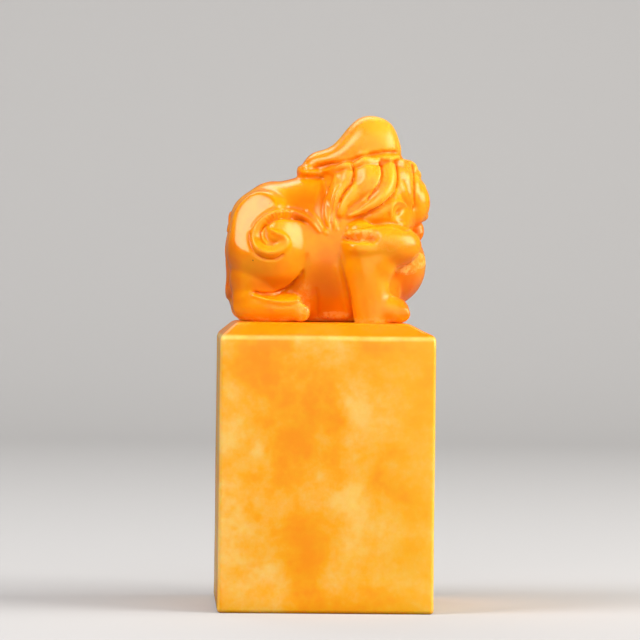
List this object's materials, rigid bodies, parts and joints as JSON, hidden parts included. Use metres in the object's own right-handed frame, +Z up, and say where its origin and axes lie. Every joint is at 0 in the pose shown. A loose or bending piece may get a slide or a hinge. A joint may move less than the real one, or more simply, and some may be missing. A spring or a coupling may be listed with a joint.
{
  "type": "seal stamp",
  "caption": "square seal stamp of waxy orange stone with a crouching mythical lion carved on top as its knob",
  "frame": {"origin": "centre of the flat seal face, on the surface that the stamp stands on", "axes": "+Z up, +X the way the beast's body faces, -Y its right side, which is the side pictured"},
  "size_m": [0.025, 0.025, 0.0579],
  "materials": {
    "stone": "waxy polish"
  },
  "bodies": {
    "root": {"beard": "stone", "brow_left": "stone", "brow_right": "stone", "cheek_left": "stone", "cheek_right": "stone", "chest": "stone", "crest": "stone", "ear_left": "stone", "ear_right": "stone", "eye_left": "stone", "eye_right": "stone", "foreleg_left": "stone", "foreleg_right": "stone", "forepaw_left": "stone", "forepaw_right": "stone", "haunch_curl_left": "stone", "haunch_curl_right": "stone", "haunch_left": "stone", "haunch_right": "stone", "head": "stone", "hind_leg_left": "stone", "hind_leg_right": "stone", "jaw": "stone", "mane_lock_left_1": "stone", "mane_lock_left_2": "stone", "mane_lock_left_3": "stone", "mane_lock_right_1": "stone", "mane_lock_right_2": "stone", "mane_lock_right_3": "stone", "mane_lock_right_4": "stone", "mane_lock_right_5": "stone", "muzzle": "stone", "neck": "stone", "seal_block": "stone", "tail": "stone", "torso": "stone"}
  },
  "joints": []
}
